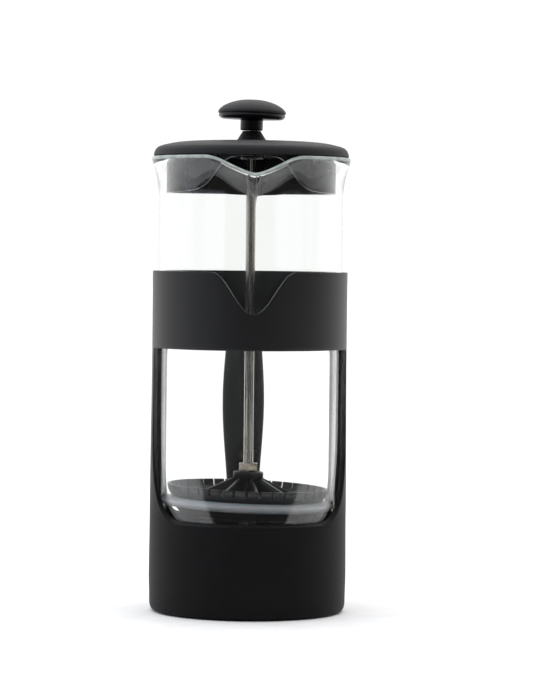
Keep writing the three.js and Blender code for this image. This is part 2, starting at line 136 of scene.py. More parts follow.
class Colours(bpy.types.PropertyGroup):
    holder: colour("Holder", "Polypropylene of the holder and handle", "#111113")
    lid: colour("Lid", "Polypropylene of the lid cover and knob", "#131418")
    inner: colour("Inner Parts", "Polished polypropylene of the collar and stem", "#0a0b0f")
    basket: colour("Basket", "Nylon of the filter basket", "#0c0c0e")
    silicone: colour("Silicone", "Silicone of the seal", "#aeb3b8")
    glass: colour("Glass", "Tint of the glass", "#fefffe")
    steel: colour("Steel", "Stainless steel of the rod and nuts", "#c3bfb8")


def in_millimetres(group):
    """A group's lengths in millimetres by name; its angles and counts stay as they are."""
    values = {}
    for key, shown in group.bl_rna.properties.items():
        if key in {"rna_type", "name"}:
            continue
        scale = 1 / MM if shown.unit == "LENGTH" else 1
        values[key] = getattr(group, key) * scale
    return type("Sizes", (), values)


# ---- Mesh helpers -------------------------------------------------------------------------------


def new_mesh(name, vertices, faces):
    """A mesh from millimetre points, with its faces turned outwards."""
    mesh = bpy.data.meshes.new(name)
    mesh.from_pydata([Vector(v) * MM for v in vertices], [], faces)
    shell = bmesh.new()
    shell.from_mesh(mesh)
    bmesh.ops.delete(shell, geom=[v for v in shell.verts if not v.link_faces], context="VERTS")
    bmesh.ops.recalc_face_normals(shell, faces=shell.faces)
    shell.to_mesh(mesh)
    shell.free()
    return mesh


def turned(name, profile, segments=160):
    """A part turned about Z from [radius, height] points that close on themselves or on the axis."""
    vertices = []
    rings = []
    for radius, height in profile:
        start = len(vertices)
        if radius == 0:
            vertices.append((0, 0, height))
            rings.append([start] * segments)
            continue
        for i in range(segments):
            turn = 2 * math.pi * i / segments
            vertices.append((radius * math.sin(turn), -radius * math.cos(turn), height))
        rings.append(list(range(start, start + segments)))
    if profile[0][0] > 0:
        rings.append(rings[0])
    faces = []
    for low, high in zip(rings, rings[1:]):
        for i in range(segments):
            j = (i + 1) % segments
            corners = [low[i], low[j], high[j], high[i]]
            face = [c for k, c in enumerate(corners) if c not in corners[:k]]
            if len(face) > 2:
                faces.append(face)
    return new_mesh(name, vertices, faces)


def quarter(start, end, corner, steps=8):
    """Points on a quarter ellipse from one profile point to another, bulging towards the corner."""
    centre = [start[k] + end[k] - corner[k] for k in (0, 1)]
    points = []
    for i in range(steps + 1):
        turn = math.pi / 2 * i / steps
        points.append(
            [
                centre[k] + (start[k] - centre[k]) * math.cos(turn) + (end[k] - centre[k]) * math.sin(turn)
                for k in (0, 1)
            ]
        )
    return points


def through(points, steps=8):
    """A smooth line through profile points, by centripetal Catmull-Rom pieces."""
    padded = [2 * Vector(points[0]) - Vector(points[1])]
    padded += [Vector(p) for p in points]
    padded.append(2 * Vector(points[-1]) - Vector(points[-2]))
    line = []
    for before, start, end, after in zip(padded, padded[1:], padded[2:], padded[3:]):
        pairs = ((before, start), (start, end), (end, after))
        gaps = [max(math.sqrt((b - a).length), 1e-4) for a, b in pairs]
        leave = (start - before) / gaps[0] - (end - before) / (gaps[0] + gaps[1]) + (end - start) / gaps[1]
        arrive = (end - start) / gaps[1] - (after - start) / (gaps[1] + gaps[2]) + (after - end) / gaps[2]
        leave *= gaps[1]
        arrive *= gaps[1]
        for i in range(steps):
            t = i / steps
            line.append(
                (2 * t**3 - 3 * t**2 + 1) * start
                + (t**3 - 2 * t**2 + t) * leave
                + (3 * t**2 - 2 * t**3) * end
                + (t**3 - t**2) * arrive
            )
    line.append(Vector(points[-1]))
    return [list(p) for p in line]


def walled(name, outer, inner, quads):
    """Two matching skins, point for point, joined along their open edges into one closed wall."""
    count = len(outer)
    faces = list(quads) + [[count + i for i in reversed(quad)] for quad in quads]
    edges = {}
    for quad in quads:
        for a, b in zip(quad, quad[1:] + quad[:1]):
            edges[(a, b)] = edges.get((a, b), 0) + 1
    faces += [[b, a, a + count, b + count] for a, b in edges if (b, a) not in edges]
    return new_mesh(name, outer + inner, faces)


def lofted(name, outlines):
    """A closed solid through matching outlines, with a flat face at each end."""
    count = len(outlines[0])
    vertices = [point for outline in outlines for point in outline]
    last = len(vertices) - count
    faces = [list(range(count)), list(range(last, last + count))]
    for start in range(0, last, count):
        for i in range(count):
            j = (i + 1) % count
            faces.append([start + i, start + j, start + count + j, start + count + i])
    return new_mesh(name, vertices, faces)


def on_cylinder(radius, turn, height):
    """A point at an angle from the front, positive towards +X."""
    return (radius * math.sin(turn), -radius * math.cos(turn), height)


def scene_object(name, mesh):
    """A new object in the scene that holds the mesh."""
    piece = bpy.data.objects.new(name, mesh)
    bpy.context.scene.collection.objects.link(piece)
    return piece


def baked(piece):
    """The object's mesh with its modifiers applied; the object itself is removed."""
    depsgraph = bpy.context.evaluated_depsgraph_get()
    name = piece.name
    mesh = bpy.data.meshes.new_from_object(piece.evaluated_get(depsgraph), depsgraph=depsgraph)
    bpy.data.objects.remove(piece)
    mesh.name = name
    return mesh


def bevelled(mesh, width, segments=3, sharper_than=30):
    """The mesh with its sharp edges rounded."""
    piece = scene_object(mesh.name, mesh)
    rounding = piece.modifiers.new("rounding", "BEVEL")
    rounding.width = width * MM
    rounding.segments = segments
    rounding.limit_method = "ANGLE"
    rounding.angle_limit = math.radians(sharper_than)
    rounding.use_clamp_overlap = True
    return baked(piece)


def cut(mesh, cutter, operation="DIFFERENCE"):
    """The mesh after a boolean with another closed mesh."""
    piece = scene_object(mesh.name, mesh)
    tool = scene_object("cutter", cutter)
    boolean = piece.modifiers.new("cut", "BOOLEAN")
    boolean.operation = operation
    boolean.solver = "EXACT"
    boolean.object = tool
    result = baked(piece)
    bpy.data.objects.remove(tool)
    return result


def joined(name, *meshes):
    """Several meshes as one."""
    whole = bmesh.new()
    for mesh in meshes:
        whole.from_mesh(mesh)
    mesh = bpy.data.meshes.new(name)
    whole.to_mesh(mesh)
    whole.free()
    return mesh


def moved(mesh, matrix):
    """The mesh after a turn or shift given in metres."""
    mesh.transform(matrix)
    return mesh


def leaned(mesh, lean, height):
    """The mesh tipped about a horizontal line along Y at a height, higher towards -X."""
    shift = Matrix.Translation((0, 0, height * MM))
    return moved(mesh, shift @ Matrix.Rotation(lean, 4, "Y") @ shift.inverted())


def finish_piece(name, mesh, material, body, slot, *nodes):
    """Shows a finished mesh as a piece that rides on a body and stands for CAD nodes."""
    mesh.name = name
    mesh.materials.clear()
    mesh.materials.append(material)
    mesh.shade_smooth()
    mesh.set_sharp_from_angle(angle=math.radians(40))
    piece = scene_object(name, mesh)
    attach(piece, body)
    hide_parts(*nodes)
    return piece


# ---- Geometry Nodes -----------------------------------------------------------------------------


def add_node(tree, kind, inputs=None, **settings):
    """Adds a node, gives it settings, and links or sets its inputs by name or number."""
    node = tree.nodes.new(kind)
    for key, value in settings.items():
        setattr(node, key, value)
    for key, value in (inputs or {}).items():
        if isinstance(value, bpy.types.NodeSocket):
            tree.links.new(value, node.inputs[key])
        else:
            node.inputs[key].default_value = value
    return node


def maths(tree, operation, *values):
    """The result of a Math node on one to three values."""
    return add_node(tree, "ShaderNodeMath", dict(enumerate(values)), operation=operation).outputs[0]


def compared(tree, operation, first, second):
    """Whether two numbers compare as the operation says."""
    return add_node(tree, "FunctionNodeCompare", {0: first, 1: second}, operation=operation).outputs[0]


def new_tree(name, sockets):
    """An empty Geometry Nodes tree with named inputs, and its group input node."""
    tree = bpy.data.node_groups.new(name, "GeometryNodeTree")
    tree.interface.new_socket("Geometry", in_out="OUTPUT", socket_type="NodeSocketGeometry")
    for label, kind in sockets.items():
        tree.interface.new_socket(label, in_out="INPUT", socket_type=f"NodeSocket{kind}")
    return tree, tree.nodes.new("NodeGroupInput").outputs


def end_tree(tree, geometry, material):
    """Ends a tree in Realize Instances and Set Material."""
    real = add_node(tree, "GeometryNodeRealizeInstances", {0: geometry})
    painted = add_node(tree, "GeometryNodeSetMaterial", {0: real.outputs[0], "Material": material})
    add_node(tree, "NodeGroupOutput", {0: painted.outputs[0]})


def grown(tree, name, **values):
    """The plain mesh that a Geometry Nodes tree makes from values for its named inputs."""
    host = scene_object(name, bpy.data.meshes.new(name))
    modifier = host.modifiers.new(name, "NODES")
    modifier.node_group = tree
    for item in tree.interface.items_tree:
        key = item.name.lower().replace(" ", "_")
        if item.in_out == "INPUT" and key in values:
            modifier[item.identifier] = values[key]
    return baked(host)


def ring_tree():
    """Copies of a piece evenly round the Z axis."""
    sockets = {"Piece": "Object", "Count": "Int", "Start": "Float", "Material": "Material"}
    tree, given = new_tree("ring of copies", sockets)
    points = add_node(tree, "GeometryNodePoints", {"Count": given["Count"]})
    index = add_node(tree, "GeometryNodeInputIndex")
    share = maths(tree, "DIVIDE", index.outputs[0], given["Count"])
    turn = maths(tree, "MULTIPLY_ADD", share, 2 * math.pi, given["Start"])
    spin = add_node(tree, "ShaderNodeCombineXYZ", {"Z": turn})
    piece = add_node(tree, "GeometryNodeObjectInfo", {"Object": given["Piece"]})
    copies = add_node(
        tree,
        "GeometryNodeInstanceOnPoints",
        {"Points": points.outputs[0], "Instance": piece.outputs["Geometry"], "Rotation": spin.outputs[0]},
    )
    end_tree(tree, copies.outputs[0], given["Material"])
    return tree


def ring_of(mesh, count, start, material):
    """Copies of a mesh evenly round the axis, as one mesh."""
    pattern = scene_object(mesh.name + "_pattern", mesh)
    tree = bpy.data.node_groups.get("ring of copies") or ring_tree()
    ring = grown(tree, mesh.name, piece=pattern, count=count, start=start, material=material)
    bpy.data.objects.remove(pattern)
    return ring


def weave_half(tree, given, parity):
    """One set of parallel wires of a plain weave, each waving over and under the other set."""
    half = maths(tree, "FLOOR", maths(tree, "DIVIDE", given["Radius"], given["Pitch"]))
    lines = maths(tree, "MULTIPLY_ADD", half, 2, 1)
    span = maths(tree, "MULTIPLY", maths(tree, "MULTIPLY", half, given["Pitch"]), 2)
    square = {"Size X": span, "Size Y": span, "Vertices X": lines, "Vertices Y": lines}
    grid = add_node(tree, "GeometryNodeMeshGrid", square)
    place = add_node(tree, "GeometryNodeInputPosition").outputs[0]
    split = add_node(tree, "ShaderNodeSeparateXYZ", {0: place})
    total = maths(tree, "ADD", split.outputs[0], split.outputs[1])
    phase = maths(tree, "DIVIDE", total, given["Pitch"])
    wave = maths(tree, "COSINE", maths(tree, "MULTIPLY_ADD", phase, math.pi, parity * math.pi))
    lift = maths(tree, "MULTIPLY", wave, given["Wire Radius"])
    offset = add_node(tree, "ShaderNodeCombineXYZ", {"Z": lift}).outputs[0]
    ends = add_node(tree, "GeometryNodeInputMeshEdgeVertices").outputs
    along = add_node(
        tree, "ShaderNodeVectorMath", {0: ends["Position 1"], 1: ends["Position 2"]}, operation="SUBTRACT"
    )
    parts = add_node(tree, "ShaderNodeSeparateXYZ", {0: along.outputs[0]})
    wrong_way = compared(tree, "LESS_THAN", maths(tree, "ABSOLUTE", parts.outputs[parity]), 1e-5)
    single = add_node(
        tree, "GeometryNodeDeleteGeometry", {"Geometry": grid.outputs["Mesh"], "Selection": wrong_way},
        domain="EDGE", mode="EDGE_FACE",
    )
    reach = add_node(tree, "ShaderNodeVectorMath", {0: place}, operation="LENGTH").outputs["Value"]
    outside = compared(tree, "GREATER_THAN", reach, given["Radius"])
    inside = compared(tree, "LESS_THAN", reach, given["Bore"])
    either = add_node(tree, "FunctionNodeBooleanMath", {0: outside, 1: inside}, operation="OR").outputs[0]
    trimmed = add_node(tree, "GeometryNodeDeleteGeometry", {0: single.outputs[0], 1: either})
    waved = add_node(tree, "GeometryNodeSetPosition", {"Geometry": trimmed.outputs[0], "Offset": offset})
    curve = add_node(tree, "GeometryNodeMeshToCurve", {0: waved.outputs[0]})
    section = add_node(
        tree, "GeometryNodeCurvePrimitiveCircle", {"Resolution": 4, "Radius": given["Wire Radius"]}
    )
    wires = add_node(
        tree, "GeometryNodeCurveToMesh",
        {"Curve": curve.outputs[0], "Profile Curve": section.outputs[0], "Fill Caps": True},
    )
    return wires.outputs[0]


def weave_tree():
    """A round piece of plain-weave wire cloth, flat on Z = 0."""
    sockets = {
        "Radius": "Float", "Bore": "Float", "Pitch": "Float", "Wire Radius": "Float", "Material": "Material",
    }
    tree, given = new_tree("plain weave disc", sockets)
    both = add_node(tree, "GeometryNodeJoinGeometry")
    for parity in (0, 1):
        tree.links.new(weave_half(tree, given, parity), both.inputs[0])
    end_tree(tree, both.outputs[0], given["Material"])
    return tree


# ---- Materials ----------------------------------------------------------------------------------


def new_material(name, **surface):
    """A material with one Principled shader; returns the material, its tree and the shader."""
    material = bpy.data.materials.new(name)
    material.use_nodes = True
    tree = material.node_tree
    shader = tree.nodes["Principled BSDF"]
    for key, value in surface.items():
        shader.inputs[key.replace("_", " ").title().replace("Ior", "IOR")].default_value = value
    return material, tree, shader


def object_noise(tree, spacing, detail=2.0, stretch=(1, 1, 1)):
    """Noise in the object's own space whose features are about spacing millimetres across."""
    place = add_node(tree, "ShaderNodeTexCoord")
    mapping = add_node(tree, "ShaderNodeMapping", {"Vector": place.outputs["Object"], "Scale": stretch})
    return add_node(
        tree,
        "ShaderNodeTexNoise",
        {"Vector": mapping.outputs[0], "Scale": 1 / (spacing * MM), "Detail": detail},
    )


def remapped(tree, value, low, high, source=(0.35, 0.65)):
    """A value carried from one range to another."""
    node = add_node(
        tree,
        "ShaderNodeMapRange",
        {"Value": value, "From Min": source[0], "From Max": source[1], "To Min": low, "To Max": high},
    )
    return node.outputs[0]


def blend_colours(tree, factor, first, second):
    """A mix of two colours."""
    mix = add_node(tree, "ShaderNodeMix", {"Factor": factor}, data_type="RGBA")
    mix.inputs[6].default_value = first
    mix.inputs[7].default_value = second
    return mix.outputs[2]


def scaled(rgba, factor):
    """A colour made darker or lighter."""
    return [channel * factor for channel in rgba[:3]] + [1.0]


def tinted(tree, shader, noise, first, second):
    """Gives the shader a colour that drifts between two with a noise."""
    factor = remapped(tree, noise.outputs[0], 0, 1)
    tree.links.new(blend_colours(tree, factor, first, second), shader.inputs["Base Color"])


def roughened(tree, shader, noise, low, high):
    """Gives the shader a roughness that drifts between two values with a noise."""
    tree.links.new(remapped(tree, noise.outputs[0], low, high), shader.inputs["Roughness"])


def bump(tree, shader, noise, depth, strength):
    """Gives the shader a relief from a noise; depth is in millimetres."""
    relief = add_node(
        tree, "ShaderNodeBump", {"Height": noise.outputs[0], "Distance": depth * MM, "Strength": strength}
    )
    tree.links.new(relief.outputs[0], shader.inputs["Normal"])


def satin_polypropylene(name, rgba, shine):
    """Moulded polypropylene from an eroded tool: satin above and dull below, with painted shade that makes
    its colour darker below.
    """
    material, tree, shader = new_material(
        name, ior=1.49, specular_ior_level=0.12, coat_roughness=0.38, coat_ior=1.5
    )
    grain = object_noise(tree, 0.5)  # real grain is about 0.1 mm, drawn coarser so that it shows
    clouds = object_noise(tree, 14, detail=3)
    place = add_node(tree, "ShaderNodeTexCoord")
    height = add_node(tree, "ShaderNodeSeparateXYZ", {0: place.outputs["Object"]})
    # A mask that rises with height from 50 to 130 mm: it sets the coat's shine and fades out the painted
    # shade below.
    shine_and_painted_shade = remapped(tree, height.outputs["Z"], 0, 1, source=(0.050, 0.130))
    # Painted shade: the lower colour is 0.4 to 0.6 of the plastic's, drifting with a noise.
    cup = blend_colours(tree, remapped(tree, clouds.outputs[0], 0, 1), scaled(rgba, 0.4), scaled(rgba, 0.6))
    shade = add_node(tree, "ShaderNodeMix", {"Factor": shine_and_painted_shade, 6: cup}, data_type="RGBA")
    shade.inputs[7].default_value = rgba
    tree.links.new(shade.outputs[2], shader.inputs["Base Color"])
    tree.links.new(remapped(tree, shine_and_painted_shade, 0.0, shine, source=(0, 1)), shader.inputs["Coat Weight"])
    roughened(tree, shader, grain, 0.48, 0.6)
    bump(tree, shader, grain, 0.006, 0.4)
    return material


def grained_polypropylene(rgba):
    """Moulded polypropylene with a fine eroded grain: near black and matt, with a soft sheen."""
    material, tree, shader = new_material(
        "moulded polypropylene, fine grain", ior=1.49, specular_ior_level=0.3
    )
    grain = object_noise(tree, 0.6, detail=3)  # real grain is about 0.15 mm, drawn coarser so that it shows
    tinted(tree, shader, object_noise(tree, 11, detail=4), scaled(rgba, 0.88), scaled(rgba, 1.12))
    roughened(tree, shader, grain, 0.46, 0.62)
    bump(tree, shader, grain, 0.02, 0.6)
    return material


def polished_polypropylene(rgba):
    """Polypropylene from a polished tool: near black, with soft-edged reflections."""
    material, tree, shader = new_material(
        "moulded polypropylene, polished", ior=1.49, specular_ior_level=0.35
    )
    haze = object_noise(tree, 9, detail=3)
    tinted(tree, shader, haze, rgba, scaled(rgba, 1.4))
    roughened(tree, shader, haze, 0.24, 0.36)
    bump(tree, shader, haze, 0.05, 0.2)
    return material


def moulded_nylon(rgba):
    """Glass-filled nylon: black with a faint grey bloom and a slightly uneven skin."""
    material, tree, shader = new_material("moulded nylon", ior=1.53)
    specks = object_noise(tree, 0.8)
    tinted(tree, shader, object_noise(tree, 5, detail=4), rgba, scaled(rgba, 1.7))
    roughened(tree, shader, specks, 0.3, 0.48)
    bump(tree, shader, specks, 0.03, 0.5)
    return material


def borosilicate_glass(rgba):
    """Blown borosilicate glass: clear and slightly uneven, and lamps light what is behind it."""
    material, tree, shader = new_material(
        "blown borosilicate glass", base_color=rgba, roughness=0.0, ior=1.47, transmission_weight=1.0
    )
    bump(tree, shader, object_noise(tree, 30, detail=1, stretch=(1, 1, 0.35)), 0.12, 0.25)
    path = add_node(tree, "ShaderNodeLightPath")
    clear = add_node(tree, "ShaderNodeBsdfTransparent", {"Color": (0.93, 0.95, 0.94, 1)})
    mix = add_node(
        tree,
        "ShaderNodeMixShader",
        {0: path.outputs["Is Shadow Ray"], 1: shader.outputs[0], 2: clear.outputs[0]},
    )
    tree.links.new(mix.outputs[0], tree.nodes["Material Output"].inputs["Surface"])
    return material


def lip_glass_painted_highlight():
    """Glass that was softened in a flame, rounded, and drawn pale and milky as a painted highlight for the
    light its thick edge gathers.
    """
    material, tree, shader = new_material(
        "fire-polished glass lip", roughness=0.12, ior=1.47, transmission_weight=0.35
    )
    # Painted highlight: a pale, milky tint that stands in for the light gathered in the thick rim.
    tinted(tree, shader, object_noise(tree, 6), linear("#b0beb7"), linear("#dbe4df"))
    return material


def silicone_rubber(rgba):
    """Moulded silicone: milky and slightly see-through, with a soft waxy shine."""
    material, tree, shader = new_material(
        "moulded silicone", ior=1.41, subsurface_weight=0.6, subsurface_scale=0.004, transmission_weight=0.25
    )
    milk = object_noise(tree, 7, detail=3)
    tinted(tree, shader, milk, scaled(rgba, 0.88), rgba)
    roughened(tree, shader, milk, 0.28, 0.42)
    return material


def drawn_stainless(rgba):
    """Drawn stainless bar: bright, with fine lines along its length."""
    material, tree, shader = new_material("drawn stainless steel", metallic=1.0)
    lines = object_noise(tree, 0.5, stretch=(1, 1, 0.02))
    tinted(tree, shader, lines, scaled(rgba, 0.8), rgba)
    roughened(tree, shader, lines, 0.16, 0.3)
    bump(tree, shader, lines, 0.01, 0.4)
    return material


def machined_stainless(rgba):
    """Machined stainless: satin faces with turning marks and a warm tarnish."""
    material, tree, shader = new_material("machined stainless steel", metallic=1.0)
    marks = object_noise(tree, 0.8, detail=4)
    warm = [rgba[0], rgba[1] * 0.93, rgba[2] * 0.84, 1.0]
    tinted(tree, shader, marks, scaled(warm, 0.75), warm)
    roughened(tree, shader, marks, 0.24, 0.42)
    bump(tree, shader, marks, 0.02, 0.5)
    return material


def wire_cloth():
    """Woven stainless wire: grey and bright on its crowns."""
    material, tree, shader = new_material("woven stainless wire", metallic=1.0, roughness=0.35)
    tinted(tree, shader, object_noise(tree, 3), linear("#8d8b86"), linear("#b5b3ad"))
    return material


def turned_brass():
    """Turned brass: yellow metal with fine rings from the tool."""
    material, tree, shader = new_material("turned brass", metallic=1.0, roughness=0.3)
    rings = object_noise(tree, 0.6, stretch=(0.05, 0.05, 1))
    tinted(tree, shader, rings, linear("#a8873f"), linear("#cdb06a"))
    bump(tree, shader, rings, 0.02, 0.4)
    return material


def foot_rubber():
    """Moulded rubber: black, dry and slightly dusty."""
    material, tree, shader = new_material("moulded rubber", roughness=0.85, ior=1.52)
    dust = object_noise(tree, 4, detail=5)
    tinted(tree, shader, dust, linear("#131314"), linear("#242425"))
    bump(tree, shader, dust, 0.05, 0.4)
    return material


def studio_paper():
    """Seamless studio paper: white and matt."""
    material, tree, shader = new_material("studio paper", roughness=0.9)
    tinted(tree, shader, object_noise(tree, 20, detail=3), linear("#fafafb"), linear("#ffffff"))
    return material


MATERIALS = {}


def make_materials(colours):
    """Fills the table of materials that the builders use."""
    # The holder and handle plastics both carry painted shade that darkens their colour below 130 mm.
    MATERIALS["holder"] = satin_polypropylene("moulded polypropylene, satin", colours.holder, 0.55)
    MATERIALS["handle"] = satin_polypropylene("moulded polypropylene, dull", colours.holder, 0.2)
    MATERIALS["lid"] = grained_polypropylene(colours.lid)
    MATERIALS["inner"] = polished_polypropylene(colours.inner)
    MATERIALS["basket"] = moulded_nylon(colours.basket)
    MATERIALS["glass"] = borosilicate_glass(colours.glass)
    MATERIALS["lip"] = lip_glass_painted_highlight()
    MATERIALS["silicone"] = silicone_rubber(colours.silicone)
    MATERIALS["rod"] = drawn_stainless(colours.steel)
    MATERIALS["nut"] = machined_stainless(colours.steel)
    MATERIALS["cloth"] = wire_cloth()
    MATERIALS["brass"] = turned_brass()
    MATERIALS["rubber"] = foot_rubber()
    MATERIALS["paper"] = studio_paper()


# ---- Holder -------------------------------------------------------------------------------------


def corner_rise(distance, half_length, width, height):
    """How far an elliptical corner has risen, at a distance along an edge of the given half length."""
    along = (abs(distance) - (half_length - width)) / width
    return 0.0 if along <= 0 else height * (1 - math.sqrt(max(0.0, 1 - along * along)))


def holder_columns(front_half, rear_half):
    """Angles round the holder, each with what it crosses: the front window, a post or the rear window."""
    stretches = [
        ("front", -front_half, front_half, 150),
        ("post", front_half, math.pi - rear_half, 18),
        ("rear", math.pi - rear_half, math.pi + rear_half, 90),
        ("post", math.pi + rear_half, 2 * math.pi - front_half, 18),
    ]
    columns = []
    for kind, start, end, count in stretches:
        for i in range(count):
            share = i / count
            if kind != "post":
                share = 0.35 * share + 0.65 * (1 - math.cos(math.pi * share)) / 2
            columns.append((kind, start + (end - start) * share))
    return columns


def holder_heights(size, kind, turn, inset, front_half, rear_half):
    """The heights at one angle: the cup's top, the band's bottom and the band's top."""
    rear_low, rear_width, rear_height = 47.6, 16.0 + (rear_half - size.rear_angle) * size.band, 23.0
    front_width, front_height = 31.0 + (front_half - size.window_angle) * size.band, 47.0
    front_fillet, rear_fillet = 3.0, 5.0
    band_low = size.band_low
    if kind == "front":
        across = turn * size.band
        reach = front_half * size.band
        cup_top = size.window_low + inset + corner_rise(across, reach, front_width, front_height)
        band_bottom = band_low - corner_rise(across, reach, front_fillet, front_fillet)
    elif kind == "rear":
        across = (turn - math.pi) * size.band
        reach = rear_half * size.band
        cup_top = rear_low + inset + corner_rise(across, reach, rear_width, rear_height)
        band_bottom = band_low - corner_rise(across, reach, rear_fillet, rear_fillet)
    else:
        turn = min(turn, 2 * math.pi - turn)
        share = (turn - front_half) / (math.pi - rear_half - front_half)
        front_top = size.window_low + inset + front_height
        cup_top = front_top + (rear_low + inset + rear_height - front_top) * share
        band_bottom = band_low - front_fillet + (front_fillet - rear_fillet) * share
    around = (turn + math.pi) % (2 * math.pi) - math.pi
    across = min(1.0, abs(around) * size.band / size.notch_width)
    band_top = size.band_high - size.notch_depth * (1 + math.cos(math.pi * across)) / 2
    return cup_top, band_bottom, band_top


def holder_skin(size, inset, spread, foot, radius_at):
    """Points of one side of the wall, column by column, its row count and the rows at the windows."""
    front_half = size.window_angle + spread
    rear_half = size.rear_angle + spread
    cup_rows, post_rows, band_rows = 34, 16, 20
    points = []
    for kind, turn in holder_columns(front_half, rear_half):
        cup_top, band_bottom, band_top = holder_heights(size, kind, turn, inset, front_half, rear_half)
        start = foot[-1][1]
        heights = [start + (cup_top - start) * (i + 1) / cup_rows for i in range(cup_rows)]
        heights += [cup_top + (band_bottom - cup_top) * (i + 1) / post_rows for i in range(post_rows)]
        heights += [band_bottom + (band_top - band_bottom) * (i + 1) / band_rows for i in range(band_rows)]
        points += [on_cylinder(radius, turn, z) for radius, z in foot]
        points += [on_cylinder(radius_at(z), turn, z) for z in heights]
    window_rows = range(len(foot) - 1 + cup_rows, len(foot) - 1 + cup_rows + post_rows)
    return points, len(foot) + cup_rows + post_rows + band_rows, window_rows


def holder_outer_radius(size):
    """The outside radius at a height, a little barrelled at the cup."""
    marks = [(5.5, 51.0), (19, size.base), (51, 51.1)]
    marks += [(size.band_low, size.band), (size.band_high, size.band)]

    def radius_at(height):
        for (z0, r0), (z1, r1) in zip(marks, marks[1:]):
            if height <= z1:
                share = max(0.0, (height - z0) / (z1 - z0))
                return r0 + (r1 - r0) * (3 * share**2 - 2 * share**3)
        return marks[-1][1]

    return radius_at


def holder_wall(size):
    """The cup, posts and band as one wall with chamfered windows."""
    lip = 46.9
    outer_foot = quarter([49.3, 0.9], [51, 5.5], [51, 0.9], steps=7)
    inner_foot = [[lip, height] for height in (0.9, 1.6, 2.5, 3.4)]
    inner_foot += [[47.6, 3.4], [48.3, 3.4], [48.3, 4.4], [48.3, 5.5]]
    draft = math.radians(4)  # how much wider the windows are on the inside
    outer, rows, window_rows = holder_skin(size, 0, 0, outer_foot, holder_outer_radius(size))
    inner, _, _ = holder_skin(size, size.chamfer, draft, inner_foot, lambda z: size.inner)
    kinds = [kind for kind, _ in holder_columns(size.window_angle, size.rear_angle)]
    quads = []
    for column, kind in enumerate(kinds):
        after = (column + 1) % len(kinds)
        for row in range(rows - 1):
            if kind != "post" and row in window_rows:
                continue
            here, there = column * rows + row, after * rows + row
            quads.append([here, there, there + 1, here + 1])
    return walled("holder_frame", outer, inner, quads)


def holder_shelf(size):
    """The shelf inside the cup that the beaker's pad lies on, with ribs under it."""
    reach = size.inner + 0.1
    shelf = turned("shelf", [[20, 26.6], [reach, 26.6], [reach, 29], [20, 29]])
    corners = [(20, -0.8), (reach, -0.8), (reach, 0.8), (20, 0.8)]
    rib = lofted("shelf_rib", [[(x, y, z) for x, y in corners] for z in (18, 26.8)])
    ribs = ring_of(rib, 12, 0, MATERIALS["holder"])
    return joined("shelf", shelf, ribs)


class FRENCHPRESS_OT_holder(bpy.types.Operator):
    """Build the holder: base cup, posts, notched band and inner shelf"""

    bl_idname = "french_press.holder"
    bl_label = "Holder"

    def execute(self, context):
        size = in_millimetres(context.scene.french_press_holder)
        wall = bevelled(holder_wall(size), 0.35, segments=2)
        frame_mesh = joined("holder_frame", wall, holder_shelf(size))
        finish_piece(
            "holder_frame_detail", frame_mesh, MATERIALS["holder"], "holder", "holder_plastic", "holder_frame"
        )
        return {"FINISHED"}


class FRENCHPRESS_OT_base(bpy.types.Operator):
    """Build what closes the base: the snap-in plate, the rubber foot and the pad under the glass"""

    bl_idname = "french_press.base"
    bl_label = "Base Plate and Pads"

    def execute(self, context):
        plate = [
            [0, 1.3], [46.8, 1.3], [46.8, 3.5], [48.2, 3.5], [48.2, 5.2], [44.5, 5.2], [44.5, 3.4], [0, 3.4],
        ]
        foot = [[0, 0.35]]
        for ring in range(7, 46, 4):
            foot += [[ring, 0.35], [ring + 0.4, 0], [ring + 2.2, 0], [ring + 2.6, 0.35]]
        foot += [[46.6, 0.35], [46.6, 1.2], [0, 1.2]]
        pad = [[24, 29.05], [41.9, 29.05], [41.9, 30.9], [24, 30.9]]
        table = [
            ("base_plate", plate, "holder", "holder_plastic"),
            ("foot_pad", foot, "rubber", "foot_rubber"),
            ("beaker_pad", pad, "silicone", "silicone"),
        ]
        for name, profile, material, slot in table:
            mesh = bevelled(turned(name, profile, 128), 0.2, segments=2)
            finish_piece(f"{name}_detail", mesh, MATERIALS[material], "holder", slot, name)
        return {"FINISHED"}


# ---- Handle -------------------------------------------------------------------------------------

HANDLE_LINE = [
    (47, 158.6), (60, 158), (74, 153), (83.5, 138), (86, 112), (84, 84), (77, 58), (64.5, 41), (47, 34.2),
]


def rounded_rectangle(left, right, low, high, corner, steps=6):
    """The outline of a rectangle with round corners, anticlockwise."""
    corners = [
        ((left + corner, low + corner), 180), ((right - corner, low + corner), 270),
        ((right - corner, high - corner), 0), ((left + corner, high - corner), 90),
    ]
    outline = []
    for (x, y), start in corners:
        for i in range(steps + 1):
            turn = math.radians(start + 90 * i / steps)
            outline.append((x + corner * math.cos(turn), y + corner * math.sin(turn)))
    return outline


def swept_along_handle(name, size, outline, start=0.0, end=1.0):
    """Runs an outline along the handle's line and narrows it towards the handle's ends."""
    line = [Vector(point) for point in through(HANDLE_LINE, steps=12)]
    line = line[round(start * (len(line) - 1)) : round(end * (len(line) - 1)) + 1]
    end_scale = 0.65
    outlines = []
    for i, point in enumerate(line):
        along = (line[min(i + 1, len(line) - 1)] - line[max(i - 1, 0)]).normalized()
        outwards = Vector((-along.y, along.x))
        shifted = []
        for across, out in outline:
            place = point + outwards * out
            from_widest = (place.y - size.wide_at) / size.bulge
            scale = end_scale + (1 - end_scale) * math.exp(-from_widest**2)
            shifted.append((across * scale, place.x, place.y))
        outlines.append(shifted)
    return lofted(name, outlines)


